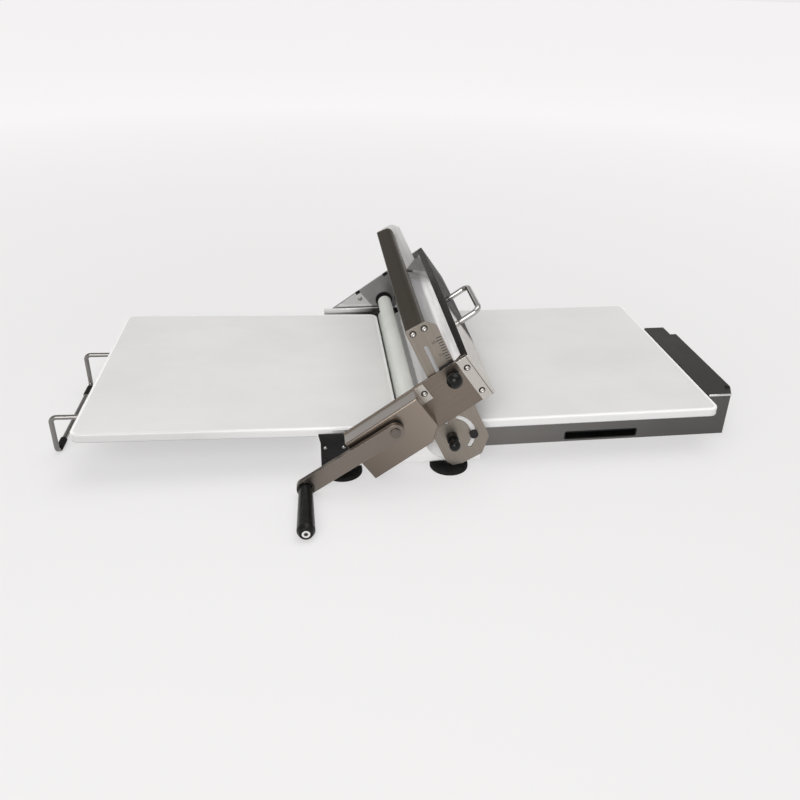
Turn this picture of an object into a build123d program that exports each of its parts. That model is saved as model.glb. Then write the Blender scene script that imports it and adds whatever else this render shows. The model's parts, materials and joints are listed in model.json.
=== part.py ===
from build123d import *
import os
from math import acos, cos, pi, radians, sin, tan

os.makedirs("parts", exist_ok=True)

# Manual dough sheeter in millimetres, +Z up, bench top at z = 0.
# Dough travels along X, the rollers lie along Y and the crank is on the low-y side.

# Place of the machine in its frame
MID_Y = 61.0
PIVOT_X = 54.7
ARM_LEAN = 25.0
HEAD_LEAN = 35.0

# Clearances
RUN_FIT = 0.05
SLIDE_FIT = 0.08
PIN_FIT = 0.1
SIDE_GAP = 1.0
END_GAP = 0.5
KNOB_CLEAR = 2.0

# Boards
BOARD_HALF = 200.0
BOARD_T = 12.0
BOARD_CORNER_R = 14.0
BOARD_EDGE_R = 2.0
BOARD_TOP = 69.4
BOARD_GAP = 3.4
RIGHT_REACH = 406.0
RIGHT_END_X = PIVOT_X + RIGHT_REACH
LEFT_REF_BACK = 199.0
LEFT_REF_X = PIVOT_X - LEFT_REF_BACK
LEFT_LEN = 313.4
LEFT_SLOPE = 1.58

# Sheet thicknesses
BASE_T = 3.0
ARM_T = 3.0
PLATE_T = 3.0
BOX_T = 2.0
BAR_T = 2.0
COVER_T = 2.0
TRAY_T = 2.0

# Sideways stack, as distances from the centre plane
CHEEK_GAP = 10.0
CHEEK_IN = BOARD_HALF + CHEEK_GAP
CHEEK_OUT = CHEEK_IN + BASE_T
ARM_IN = CHEEK_OUT + SIDE_GAP
ARM_OUT = ARM_IN + ARM_T
PLATE_IN = ARM_OUT + SIDE_GAP
PLATE_OUT = PLATE_IN + PLATE_T
BOX_DEPTH = 25.0
BOX_OUT = PLATE_OUT + BOX_DEPTH
CRANK_GAP = 4.5
CRANK_BACK = BOX_OUT + CRANK_GAP
ROLLER_END_GAP = 2.0
roller_half = CHEEK_IN - ROLLER_END_GAP

# Base channel and feet
PIVOT_DROP = 13.1
PIVOT_Z = BOARD_TOP - PIVOT_DROP
BASE_LEFT = 182.0
BASE_RIGHT = 43.0
BASE_X0 = PIVOT_X - BASE_LEFT
BASE_X1 = PIVOT_X + BASE_RIGHT
BASE_Z0 = 12.0
CHEEK_RISE = 4.6
CHEEK_TOP = BOARD_TOP + CHEEK_RISE
CHEEK_NOTCH_X = 16.0
CHEEK_NOTCH_Z = 12.0
CHEEK_NOTCH_R = 2.0
BASE_INNER_R = 1.0
FOOT_R = 27.5
FOOT_DISC_H = 5.5
FOOT_BOSS_R = 9.0
FOOT_INSET = 9.5
FOOT_IN = CHEEK_OUT - FOOT_INSET
FOOT_BACK = 30.0
FOOT_LEFT_X = BASE_X0 + FOOT_BACK
BRACKET_W = 42.0
BRACKET_T = 2.0
BRACKET_DROP = 0.6
BRACKET_FLARE = 3.0
BRACKET_NECK = 14.0
RAIL_H = 12.0
RAIL_W = 16.0
RAIL_BACK = 55.0

# Rollers
ROLLER_R = 12.2
ROLLER_GAP = 4.6
SHAFT_R = 8.0
JOURNAL_R = 6.0
BUSH_R = 9.0
BUSH_FLANGE_R = 12.0
BUSH_FLANGE_T = 1.4
UPPER_A = -26.9
UPPER_B = 56.1

# Gear pair between the crank shaft and the upper roller
MODULE = 1.5
PINION_TEETH = 16
GEAR_TEETH = 24
PRESSURE = 20.0
BACKLASH = 0.24
GEAR_W = 10.0
PINION_W = 12.0
GEAR_BACK = 6.0
CRANK_DIRECTION = 134.5
gear_tip = MODULE * (GEAR_TEETH / 2 + 1)
pinion_tip = MODULE * (PINION_TEETH / 2 + 1)
gear_span = MODULE * (PINION_TEETH + GEAR_TEETH) / 2
crank_a = UPPER_A + gear_span * cos(radians(CRANK_DIRECTION))
crank_b = UPPER_B + gear_span * sin(radians(CRANK_DIRECTION))

# Crank and grip
CRANK_T = 7.5
CRANK_W = 24.5
CRANK_LEN = 144.5
CRANK_TURN = 178.58
CRANK_HUB_R = 11.0
CRANK_CAP_R = 7.0
CRANK_CAP_H = 2.0
GRIP_PIN_R = 4.0
GRIP_LEN = 94.0
GRIP_ROOT_R = 9.3
GRIP_ROOT_ROUND = 3.0
GRIP_END_R = 11.8
GRIP_NOSE = 6.0
GRIP_NOSE_ROUND = 4.0
GRIP_TIP_R = 8.6
GRIP_HEAD_R = 5.3
GRIP_HEAD_H = 2.0
GRIP_HEAD_ROOM = 0.4
GRIP_SINK = 1.5

# Arms and quadrants, drawn from the pivot along and across the arm
ARM_LEFT = 6.0
ARM_W = 41.5
ARM_RIGHT = ARM_LEFT + ARM_W
ARM_TOP = 176.0
ARM_PEAK = 2.0
QUAD_LEFT = -23.0
QUAD_GAP = 6.85
QUAD_LOW = -(PIVOT_Z - FOOT_DISC_H - QUAD_GAP) / cos(radians(ARM_LEAN))
SLOT_SHIFT = 16.0
SLOT_A = ARM_LEFT + SLOT_SHIFT
SLOT_PIN_R = 2.5
GUIDE_LOW = 60.0
GUIDE_SPAN = 28.0
SLOT_BELOW = 8.0
SLOT_ABOVE = 58.0
SLOT_LOW = GUIDE_LOW - SLOT_BELOW
SLOT_TOP = GUIDE_LOW + GUIDE_SPAN + SLOT_ABOVE
GUIDE_HEAD_R = 4.5
GUIDE_HEAD_T = 3.0
ARC_R = 31.0
ARC_W = 7.0
ARC_FROM = -57.0
ARC_SIZE = 109.0
BOLT_ANGLE = -18.0
BOLT_R = 3.0
BOLT_HEAD_R = 6.0
BOLT_HEAD_T = 4.0
STUD_R = 6.0
STUD_HEAD_R = 8.0
STUD_HEAD_T = 3.0
STUD_THREAD_R = 4.0
STUD_SHORT = 5.0
BAR_W = 27.0
BAR_H = 26.0
BAR_DROP = 1.0
BAR_TOP = ARM_TOP - BAR_DROP
BAR_R = 10.0
BAR_EDGE_R = 2.5

# Head: side plates, gear box, cover, hood and handle
PLATE_BACK = 87.7
PLATE_FRONT = 110.4
PLATE_LEFT = UPPER_A - PLATE_BACK
PLATE_RIGHT = UPPER_A + PLATE_FRONT
BOX_ROOM = 5.5
BOX_HEADROOM = 4.75
GEAR_ROOM = 8.3
BOX_RIGHT = UPPER_A + gear_tip + BOX_ROOM + BOX_T
BOX_TOP = crank_b + pinion_tip + BOX_HEADROOM + BOX_T
BOX_BEND_R = 2.5
BOX_CUT_A = 19.5
BOX_CUT_B = 17.5
PLATE_LOW = UPPER_B - gear_tip - GEAR_ROOM - BOX_T
PLATE_RISE = 1.3
PLATE_TOP = BOX_TOP + PLATE_RISE
FLANGE_W = 14.0
FLANGE_H = 26.5
COVER_A = PLATE_RIGHT + COVER_T + END_GAP
COVER_BOW = 2.0
COVER_TAB = 19.0
COVER_DROP = 1.0
COVER_TOP = PLATE_TOP - COVER_DROP
LIP_W = 9.0
HOOD_T = 2.0
HOOD_FALL = 33.4
HOOD_SAG = 2.5
HOOD_GAP = 10.8
HOOD_SIDE_GAP = 3.5
HOOD_HALF = ARM_IN - END_GAP - GUIDE_HEAD_T - HOOD_SIDE_GAP
HANDLE_R = 4.5
HANDLE_DROP = 36.0
HANDLE_B = COVER_TOP - HANDLE_DROP
HANDLE_MID = 5.0
HANDLE_HALF = 48.0
HANDLE_REACH = 38.0
HANDLE_BEND = 11.0

# Ball knobs, both kept clear of the turning crank
LIFT_SCREW_R = 4.0
LIFT_COLLAR_R = 9.0
LIFT_COLLAR_H = 6.0
LIFT_GAP = 4.2
LIFT_DROP = 14.8
LIFT_A = COVER_A - COVER_TAB - LIFT_COLLAR_R - LIFT_GAP
LIFT_B = PLATE_TOP - LIFT_DROP
LIFT_BALL_R = 11.0
LIFT_BALL_N = CRANK_BACK - KNOB_CLEAR - LIFT_BALL_R
KNOB_STEM_R = 5.5
TILT_HUB_R = 8.0
TILT_HUB_H = 10.0
TILT_BALL_R = 8.0
TILT_BALL_N = CRANK_BACK - KNOB_CLEAR - TILT_BALL_R

# Right tray
TRAY_END = 47.5
TRAY_X1 = RIGHT_END_X + TRAY_END
TRAY_NEAR = 159.5
TRAY_FAR = -88.0
TRAY_RISE = 1.1
TRAY_END_TOP = BOARD_TOP + TRAY_RISE
TRAY_NOTCH_X = 11.0
TRAY_NOTCH_Y = 30.0
TRAY_CUT_X = 10.0
TRAY_CUT_Y = 22.0
TRAY_TONGUE = 67.0
HAND_REACH = 200.5
HAND_X = BASE_X1 + HAND_REACH
HAND_Z = 10.4
HAND_W = 115.5
HAND_H = 14.5
HAND_DEPTH = 16.0
HAND_R = 3.5

# Left wire leg and its guide tubes
LEG_ROD_R = 3.5
LEG_TUBE_R = 5.5
LEG_TUBE_BACK = 14.0
LEG_REACH = 45.2
LEG_NEAR = 122.4
LEG_FAR = -76.6
LEG_INSERT = 75.0
LEG_BEND = 8.0
SLEEVE_R = 5.0
SLEEVE_LEN = 24.0


def tilted(angle):
    """Frame at the pivot: first axis rises at the angle, third runs out to the crank side."""
    lean = radians(angle)
    return Plane((PIVOT_X, MID_Y, PIVOT_Z), x_dir=(cos(lean), 0, sin(lean)), z_dir=(0, -1, 0))


FRONT = Plane((0, MID_Y, 0), x_dir=(1, 0, 0), z_dir=(0, -1, 0))
ARM = tilted(ARM_LEAN)
HEAD = tilted(HEAD_LEAN)
SLOPE = radians(LEFT_SLOPE)
LEFT = Plane(
    (LEFT_REF_X, MID_Y, BOARD_TOP),
    x_dir=(cos(SLOPE), 0, -sin(SLOPE)),
    z_dir=(sin(SLOPE), 0, cos(SLOPE)),
)


def save(name, shape):
    """Writes one piece to its own file."""
    export_step(shape, "parts/" + name + ".step")


def outline(*corners):
    """Closed flat outline, each corner (x, y) or (x, y, rounding radius)."""
    face = make_face(Polyline(*[c[:2] for c in corners], close=True))
    for corner in corners:
        if len(corner) > 2:
            nearest = face.vertices().sort_by_distance((corner[0], corner[1], 0))[0]
            face = fillet(nearest, corner[2])
    return face


def prism(face, low, high):
    """Flat outline pushed from one distance to another along the frame's third axis."""
    return Pos(0, 0, low) * extrude(face, high - low, dir=(0, 0, 1))


def rod(x, y, radius, low, high):
    """Round bar along the frame's third axis."""
    return Pos(x, y, (low + high) / 2) * Cylinder(radius, high - low)


def block(x0, x1, y0, y1, z0, z1):
    """Rectangular block between two corners."""
    return Pos((x0 + x1) / 2, (y0 + y1) / 2, (z0 + z1) / 2) * Box(x1 - x0, y1 - y0, z1 - z0)


def sided(shape, side):
    """Same shape for the crank side (+1) or mirrored to the far side (-1)."""
    return shape if side > 0 else mirror(shape, about=Plane.XY)


def turned(angle, a, b):
    """Point given in a frame turned by the angle, read in the frame it was turned from."""
    t = radians(angle)
    return a * cos(t) - b * sin(t), a * sin(t) + b * cos(t)


def gear_face(teeth, tip_r, root_r, tooth_at):
    """Involute gear outline with one tooth centred on the given direction in degrees."""
    pitch_r = MODULE * teeth / 2
    base_r = pitch_r * cos(radians(PRESSURE))
    half_pitch = (pi * MODULE / 2 - BACKLASH) / 2 / pitch_r
    flat = tan(radians(PRESSURE)) - radians(PRESSURE)
    start_r = max(base_r, root_r)
    flank = []
    for step in range(6):
        radius = start_r + (tip_r - start_r) * step / 5
        angle = acos(min(1.0, base_r / radius))
        flank.append((radius, half_pitch + flat - (tan(angle) - angle)))
    if root_r < base_r:
        flank.insert(0, (root_r, flank[0][1]))
    points = []
    for tooth in range(teeth):
        centre = radians(tooth_at) + 2 * pi * tooth / teeth
        for radius, half in flank:
            points.append((radius * cos(centre - half), radius * sin(centre - half)))
        for radius, half in reversed(flank):
            points.append((radius * cos(centre + half), radius * sin(centre + half)))
    return make_face(Polyline(*points, close=True))


def roller_sleeve(x, y):
    """Plastic roller body with softened ends, bored for its shaft."""
    body = fillet(rod(x, y, ROLLER_R, -roller_half, roller_half).edges(), 1.0)
    return body - rod(x, y, SHAFT_R, -roller_half - 1, roller_half + 1)


def flanged_bush(x, y, inner, outer, flange_low, flange_high):
    """Plain bush through a sheet with a flange on one face."""
    sleeve = rod(x, y, BUSH_R, inner, outer) + rod(x, y, BUSH_FLANGE_R, flange_low, flange_high)
    low = min(inner, flange_low) - 1
    high = max(outer, flange_high) + 1
    return sleeve - rod(x, y, JOURNAL_R + RUN_FIT, low, high)


# Axes that several pieces share
pivot_drop = turned(HEAD_LEAN, UPPER_A, UPPER_B)
upper_x = PIVOT_X + pivot_drop[0]
upper_z = PIVOT_Z + pivot_drop[1]
lower_x = upper_x
lower_z = upper_z - 2 * ROLLER_R - ROLLER_GAP
pin_a = crank_a + CRANK_LEN * cos(radians(CRANK_TURN))
pin_b = crank_b + CRANK_LEN * sin(radians(CRANK_TURN))
bolt_offset = turned(ARM_LEAN + BOLT_ANGLE, ARC_R, 0)
bolt_x = PIVOT_X + bolt_offset[0]
bolt_z = PIVOT_Z + bolt_offset[1]
floor_top = BASE_Z0 + BASE_T
board_under = BOARD_TOP - BOARD_T
guides = [turned(ARM_LEAN - HEAD_LEAN, SLOT_A, GUIDE_LOW + GUIDE_SPAN * k) for k in (0, 1)]

# Base: one folded channel with upright cheeks, the upper left corner of each notched
outer_u = outline(
    (-CHEEK_OUT, CHEEK_TOP),
    (-CHEEK_OUT, BASE_Z0, BASE_INNER_R + BASE_T),
    (CHEEK_OUT, BASE_Z0, BASE_INNER_R + BASE_T),
    (CHEEK_OUT, CHEEK_TOP),
)
inner_u = outline(
    (-CHEEK_IN, CHEEK_TOP + 1),
    (-CHEEK_IN, floor_top, BASE_INNER_R),
    (CHEEK_IN, floor_top, BASE_INNER_R),
    (CHEEK_IN, CHEEK_TOP + 1),
)
RUN_X = Plane((BASE_X0, MID_Y, 0), x_dir=(0, 1, 0), z_dir=(1, 0, 0))
channel = RUN_X.location * extrude(outer_u - inner_u, BASE_X1 - BASE_X0, dir=(0, 0, 1))
notch = outline(
    (BASE_X0 - 1, CHEEK_TOP - CHEEK_NOTCH_Z),
    (BASE_X0 + CHEEK_NOTCH_X, CHEEK_TOP - CHEEK_NOTCH_Z, CHEEK_NOTCH_R),
    (BASE_X0 + CHEEK_NOTCH_X, CHEEK_TOP + 1),
    (BASE_X0 - 1, CHEEK_TOP + 1),
)
channel -= FRONT.location * prism(notch, -CHEEK_OUT - 1, CHEEK_OUT + 1)
for x, z, radius in (
    (PIVOT_X, PIVOT_Z, STUD_R),
    (bolt_x, bolt_z, BOLT_R),
    (lower_x, lower_z, BUSH_R),
):
    channel -= FRONT.location * rod(x, z, radius, -CHEEK_OUT - 1, CHEEK_OUT + 1)
save("base_channel", channel)

# Rubber feet: a wide disc under a short boss
for x, end in ((FOOT_LEFT_X, "left"), (PIVOT_X, "right")):
    for side, where in ((1, "near"), (-1, "far")):
        disc = Cylinder(FOOT_R, FOOT_DISC_H, align=(Align.CENTER, Align.CENTER, Align.MIN))
        disc = fillet(disc.faces().sort_by(Axis.Z)[-1].edges(), FOOT_DISC_H * 0.6)
        boss = Cylinder(FOOT_BOSS_R, BASE_Z0, align=(Align.CENTER, Align.CENTER, Align.MIN))
        save("foot_" + where + "_" + end, Pos(x, MID_Y - side * FOOT_IN, 0) * (disc + boss))

# Black brackets on the left ends of the cheeks, the far one ending below the board
for side, where, top in ((1, "near", BOARD_TOP - BRACKET_DROP), (-1, "far", board_under)):
    bracket = outline(
        (BASE_X0, BASE_Z0, 3),
        (BASE_X0 + BRACKET_W, BASE_Z0, 3),
        (BASE_X0 + BRACKET_W, top),
        (BASE_X0 - BRACKET_FLARE, top, 1),
        (BASE_X0, top - BRACKET_NECK),
    )
    plate = sided(prism(bracket, CHEEK_OUT, CHEEK_OUT + BRACKET_T), side)
    save("end_bracket_" + where, FRONT.location * plate)

# Right board, flat on the tray deck
right_x0 = lower_x + ROLLER_R + BOARD_GAP
right_len = RIGHT_END_X - right_x0
right_face = Pos((right_x0 + RIGHT_END_X) / 2, MID_Y) * RectangleRounded(
    right_len, 2 * BOARD_HALF, BOARD_CORNER_R
)
right_board = prism(right_face, board_under, BOARD_TOP)
right_board = fillet(right_board.faces().sort_by(Axis.Z)[-1].edges(), BOARD_EDGE_R)
save("right_board", right_board)

# Left board, sloping down to the rollers
left_u1 = (lower_x - ROLLER_R - BOARD_GAP - LEFT_REF_X) / cos(SLOPE)
left_face = Pos((left_u1 - LEFT_LEN) / 2, 0) * RectangleRounded(
    left_u1 + LEFT_LEN, 2 * BOARD_HALF, BOARD_CORNER_R
)
left_board = prism(left_face, -BOARD_T, 0)
left_board = fillet(left_board.faces().sort_by(Axis.Z)[-1].edges(), BOARD_EDGE_R)
save("left_board", LEFT.location * left_board)

# Cross rails between the cheeks, each under one board end
left_rail_u = left_u1 - RAIL_BACK
left_rail = block(left_rail_u, left_rail_u + RAIL_W, -CHEEK_IN, CHEEK_IN, -BOARD_T - RAIL_H, -BOARD_T)
save("cross_rail_left", LEFT.location * left_rail)
deck_under = board_under - TRAY_T
rail_x0 = PIVOT_X + STUD_HEAD_R + 1
right_rail = block(
    rail_x0, rail_x0 + RAIL_H, MID_Y - CHEEK_IN, MID_Y + CHEEK_IN, deck_under - RAIL_H, deck_under
)
save("cross_rail_right", right_rail)

# Right tray: folded stand, raised past the board end, notched at its far corner and cut at its near one
tray_x0 = BASE_X1 + SIDE_GAP
step_x = RIGHT_END_X + SIDE_GAP


def tray_body(grow, bottom):
    """Tray volume, grown inwards by the sheet thickness for the hollow."""
    low = outline(
        (tray_x0 - grow, TRAY_FAR + grow),
        (step_x + grow, TRAY_FAR + grow),
        (step_x + grow, TRAY_NEAR - grow),
        (tray_x0 - grow, TRAY_NEAR - grow),
    )
    end = outline(
        (step_x + grow, TRAY_FAR + grow),
        (TRAY_X1 - TRAY_NOTCH_X - grow, TRAY_FAR + grow),
        (TRAY_X1 - TRAY_NOTCH_X - grow, TRAY_FAR + TRAY_NOTCH_Y + grow),
        (TRAY_X1 - grow, TRAY_FAR + TRAY_NOTCH_Y + grow),
        (TRAY_X1 - grow, TRAY_NEAR - TRAY_CUT_Y - grow),
        (TRAY_X1 - TRAY_CUT_X - grow, TRAY_NEAR - grow),
        (step_x + grow, TRAY_NEAR - grow),
    )
    return prism(low, bottom, board_under - grow) + prism(end, bottom, TRAY_END_TOP - grow)


tray = mirror(tray_body(0, 0) - tray_body(TRAY_T, -1), about=Plane.XZ)
tongue = block(
    tray_x0 - TRAY_TONGUE, tray_x0, -TRAY_NEAR + TRAY_T, -TRAY_FAR - TRAY_T, deck_under, board_under
)
tray = Pos(0, MID_Y, 0) * (tray + tongue)
hand_slot = Pos(HAND_X, HAND_Z) * RectangleRounded(HAND_W, HAND_H, HAND_R)
tray -= FRONT.location * prism(hand_slot, TRAY_NEAR - TRAY_T - 1, TRAY_NEAR + 1)
save("right_tray", tray)

# Black pocket set into the hand slot
pocket_hole = Pos(HAND_X, HAND_Z) * RectangleRounded(
    HAND_W - 2 * TRAY_T, HAND_H - 2 * TRAY_T, HAND_R - TRAY_T
)
pocket = prism(hand_slot, TRAY_NEAR - HAND_DEPTH, TRAY_NEAR)
pocket -= prism(pocket_hole, TRAY_NEAR - HAND_DEPTH + TRAY_T, TRAY_NEAR + 1)
save("hand_pocket", FRONT.location * pocket)

# Guide tubes under the left board and the wire leg that slides in them
tube_w = -BOARD_T - LEG_TUBE_R
tube_u0 = -LEFT_LEN + LEG_TUBE_BACK
ALONG = Plane((0, 0, 0), x_dir=(0, 1, 0), z_dir=(1, 0, 0))
for reach, where in ((LEG_NEAR, "near"), (LEG_FAR, "far")):
    tube = rod(-reach, tube_w, LEG_TUBE_R, tube_u0, left_rail_u)
    tube -= rod(-reach, tube_w, LEG_ROD_R + SLIDE_FIT, tube_u0 - 1, left_rail_u + 1)
    save("guide_tube_" + where, LEFT.location * ALONG.location * tube)
leg_u = -LEFT_LEN - LEG_REACH
leg_points = []
for reach in (LEG_NEAR, LEG_FAR):
    inside = LEFT.from_local_coords((tube_u0 + LEG_INSERT, -reach, tube_w))
    corner = LEFT.from_local_coords((leg_u, -reach, tube_w))
    foot = Vector(corner.X, corner.Y, SLEEVE_R)
    ends = [inside, corner, foot]
    leg_points += ends if reach == LEG_NEAR else ends[::-1]
leg_path = FilletPolyline(*leg_points, radius=LEG_BEND)
leg_start = Plane(leg_path @ 0, z_dir=leg_path % 0)
leg = sweep(leg_start * Circle(LEG_ROD_R), path=leg_path)
save("wire_leg", leg)
leg_x = leg_points[2].X
for reach, grow, where in ((LEG_NEAR, -1, "near"), (LEG_FAR, 1, "far")):
    start = MID_Y - reach - grow * LEG_BEND
    sleeve = Cylinder(SLEEVE_R, SLEEVE_LEN) - Cylinder(LEG_ROD_R, SLEEVE_LEN + 2)
    middle = start - grow * SLEEVE_LEN / 2
    save("leg_sleeve_" + where, Pos(leg_x, middle, SLEEVE_R) * Rot(90, 0, 0) * sleeve)

# Lower roller with its bushes in the cheeks
lower_shaft = rod(lower_x, lower_z, SHAFT_R, -roller_half, roller_half)
lower_shaft += rod(lower_x, lower_z, JOURNAL_R, -CHEEK_OUT, CHEEK_OUT)
save("lower_shaft", FRONT.location * lower_shaft)
save("lower_roller", FRONT.location * roller_sleeve(lower_x, lower_z))
for side, where in ((1, "near"), (-1, "far")):
    bush = flanged_bush(
        lower_x, lower_z, CHEEK_IN, CHEEK_OUT, CHEEK_IN - BUSH_FLANGE_T, CHEEK_IN
    )
    save("lower_bush_" + where, FRONT.location * sided(bush, side))

# Arms: slotted for the head, widened to a quadrant with an arc slot round the pivot
arm_face = outline(
    (ARM_LEFT, ARM_TOP, 3),
    (ARM_LEFT + 0.72 * ARM_W, ARM_TOP + ARM_PEAK, 5),
    (ARM_RIGHT, ARM_TOP - 9.5, 4),
    (ARM_RIGHT, QUAD_LOW + 24.5, 10),
    (ARM_RIGHT - 19.5, QUAD_LOW + 2, 8),
    (-4, QUAD_LOW, 6),
    (QUAD_LEFT + 6, QUAD_LOW + 3, 4),
    (QUAD_LEFT, QUAD_LOW + 14, 6),
    (QUAD_LEFT, 14, 8),
    (-2, 36, 6),
    (ARM_LEFT, 44, 4),
)
slot_mid = (SLOT_TOP + SLOT_LOW) / 2
slot_w = 2 * (SLOT_PIN_R + PIN_FIT)
arm_face -= Pos(SLOT_A, slot_mid) * Rot(0, 0, 90) * SlotOverall(SLOT_TOP - SLOT_LOW, slot_w)
arm_face -= SlotArc(CenterArc((0, 0), ARC_R, ARC_FROM, ARC_SIZE), ARC_W)
arm_face -= Circle(STUD_R + RUN_FIT)
arm_face -= Pos(1.5, 23.5) * Circle(3)
for side, where in ((1, "near"), (-1, "far")):
    save("arm_" + where, ARM.location * sided(prism(arm_face, ARM_IN, ARM_OUT), side))

# Crossbar: closed tube between the arm tops with one large rounded edge
bar_outer = outline(
    (ARM_LEFT, BAR_TOP - BAR_H, BAR_EDGE_R),
    (ARM_LEFT + BAR_W, BAR_TOP - BAR_H, BAR_EDGE_R),
    (ARM_LEFT + BAR_W, BAR_TOP, BAR_R),
    (ARM_LEFT, BAR_TOP, BAR_EDGE_R),
)
bar_inner = outline(
    (ARM_LEFT + BAR_T, BAR_TOP - BAR_H + BAR_T),
    (ARM_LEFT + BAR_W - BAR_T, BAR_TOP - BAR_H + BAR_T),
    (ARM_LEFT + BAR_W - BAR_T, BAR_TOP - BAR_T, BAR_R - BAR_T),
    (ARM_LEFT + BAR_T, BAR_TOP - BAR_T),
)
save("crossbar", ARM.location * prism(bar_outer - bar_inner, -ARM_IN, ARM_IN))

# Pivot studs: the near one carries on as the thread for the tilt knob
tilt_stem_top = TILT_BALL_N - 0.7 * TILT_BALL_R
stud_reach = tilt_stem_top - STUD_SHORT
stud = rod(PIVOT_X, PIVOT_Z, STUD_HEAD_R, CHEEK_IN - STUD_HEAD_T, CHEEK_IN)
stud += rod(PIVOT_X, PIVOT_Z, STUD_R, CHEEK_IN, ARM_OUT + END_GAP / 2)
near_stud = stud + rod(PIVOT_X, PIVOT_Z, STUD_THREAD_R, ARM_OUT, stud_reach)
save("pivot_stud_near", FRONT.location * near_stud)
far_stud = stud + rod(PIVOT_X, PIVOT_Z, STUD_R, ARM_OUT, ARM_OUT + END_GAP)
far_stud += rod(PIVOT_X, PIVOT_Z, STUD_HEAD_R, ARM_OUT + END_GAP, ARM_OUT + END_GAP + STUD_HEAD_T)
save("pivot_stud_far", FRONT.location * sided(far_stud, -1))

# Guide bolts through the arc slots
bolt = rod(bolt_x, bolt_z, BOLT_HEAD_R, CHEEK_IN - BOLT_HEAD_T, CHEEK_IN)
bolt += rod(bolt_x, bolt_z, BOLT_R, CHEEK_IN, ARM_OUT + END_GAP)
bolt += rod(bolt_x, bolt_z, BOLT_HEAD_R, ARM_OUT + END_GAP, ARM_OUT + END_GAP + BOLT_HEAD_T)
for side, where in ((1, "near"), (-1, "far")):
    save("guide_bolt_" + where, FRONT.location * sided(bolt, side))

# Side plates of the head
plate_face = outline(
    (PLATE_LEFT, PLATE_LOW),
    (PLATE_RIGHT, PLATE_LOW),
    (PLATE_RIGHT, PLATE_TOP),
    (PLATE_LEFT, PLATE_TOP),
)
plate_face -= Pos(UPPER_A, UPPER_B) * Circle(BUSH_R)
for a, b in guides:
    plate_face -= Pos(a, b) * Circle(SLOT_PIN_R)
near_face = plate_face - Pos(crank_a, crank_b) * Circle(BUSH_R)
near_face -= Pos(LIFT_A, LIFT_B) * Circle(LIFT_SCREW_R + RUN_FIT)
save("side_plate_near", HEAD.location * prism(near_face, PLATE_IN, PLATE_OUT))
save("side_plate_far", HEAD.location * sided(prism(plate_face, PLATE_IN, PLATE_OUT), -1))

# Guide pins of the head in the arm slots, each with a keeper head inside the arm
for side, where in ((1, "near"), (-1, "far")):
    for (a, b), level in zip(guides, ("low", "high")):
        pin = rod(a, b, SLOT_PIN_R, ARM_IN - END_GAP, PLATE_OUT)
        pin += rod(a, b, GUIDE_HEAD_R, ARM_IN - END_GAP - GUIDE_HEAD_T, ARM_IN - END_GAP)
        save("guide_pin_" + where + "_" + level, HEAD.location * sided(pin, side))

# Bushes for the upper roller and for the crank shaft
for side, where in ((1, "near"), (-1, "far")):
    bush = flanged_bush(UPPER_A, UPPER_B, PLATE_IN, PLATE_OUT, PLATE_IN - BUSH_FLANGE_T, PLATE_IN)
    save("upper_bush_" + where, HEAD.location * sided(bush, side))
crank_bush = flanged_bush(crank_a, crank_b, PLATE_IN, PLATE_OUT, PLATE_IN - BUSH_FLANGE_T, PLATE_IN)
save("crank_bush_inner", HEAD.location * crank_bush)
box_front = BOX_OUT - BOX_T
front_bush = flanged_bush(crank_a, crank_b, box_front, BOX_OUT, BOX_OUT, BOX_OUT + 2)
save("crank_bush_outer", HEAD.location * front_bush)

# Gear box: folded case open towards the side plate, its low right corner cut off to clear the
# tilt knob, with a screwed flange at its right
case_face = outline(
    (PLATE_LEFT, PLATE_LOW),
    (BOX_RIGHT - BOX_CUT_A, PLATE_LOW),
    (BOX_RIGHT, PLATE_LOW + BOX_CUT_B),
    (BOX_RIGHT, BOX_TOP),
    (PLATE_LEFT, BOX_TOP),
)
case = prism(case_face, PLATE_OUT, BOX_OUT)
case = fillet(case.faces().sort_by(Axis.Z)[-1].edges(), BOX_BEND_R)
case -= prism(offset(case_face, -BOX_T, kind=Kind.INTERSECTION), PLATE_OUT - 1, box_front)
case += block(
    BOX_RIGHT - BOX_T, BOX_RIGHT + FLANGE_W, BOX_TOP - FLANGE_H, BOX_TOP, PLATE_OUT, PLATE_OUT + BOX_T
)
case -= rod(crank_a, crank_b, BUSH_R, box_front - 1, BOX_OUT + 1)
save("gear_box", HEAD.location * case)

# Right cover: bowed panel, end tabs over the side plates and a lip along its top
cover_half = PLATE_OUT + COVER_T


def bowed(inset, left):
    """Plan outline from a straight left edge to the bowed panel face."""
    edge = COVER_A - inset
    arc = ThreePointArc((edge, -cover_half), (edge + COVER_BOW, 0), (edge, cover_half))
    back = Polyline((edge, cover_half), (left, cover_half), (left, -cover_half), (edge, -cover_half))
    return make_face([arc] + list(back.edges()))


PLAN = Plane((0, 0, 0), x_dir=(1, 0, 0), z_dir=(0, 1, 0))
panel_face = bowed(0, COVER_A - COVER_TAB) - bowed(COVER_T, COVER_A - 2 * COVER_TAB)
panel = PLAN.location * prism(panel_face, PLATE_LOW, COVER_TOP)
lip_face = bowed(COVER_T / 2, COVER_A - LIP_W)
lip = PLAN.location * prism(lip_face, COVER_TOP - COVER_T, COVER_TOP)
cover = panel + lip
for side in (1, -1):
    tab = block(
        COVER_A - COVER_TAB, COVER_A - COVER_T / 2, PLATE_LOW, COVER_TOP, PLATE_OUT, PLATE_OUT + COVER_T
    )
    cover += sided(tab, side)
lip_relief = block(0, PLATE_RIGHT, COVER_TOP - COVER_T - 1, COVER_TOP + 1, PLATE_IN - 1, PLATE_OUT)
cover -= lip_relief
cover -= sided(lip_relief, -1)
save("right_cover", HEAD.location * cover)

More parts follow.
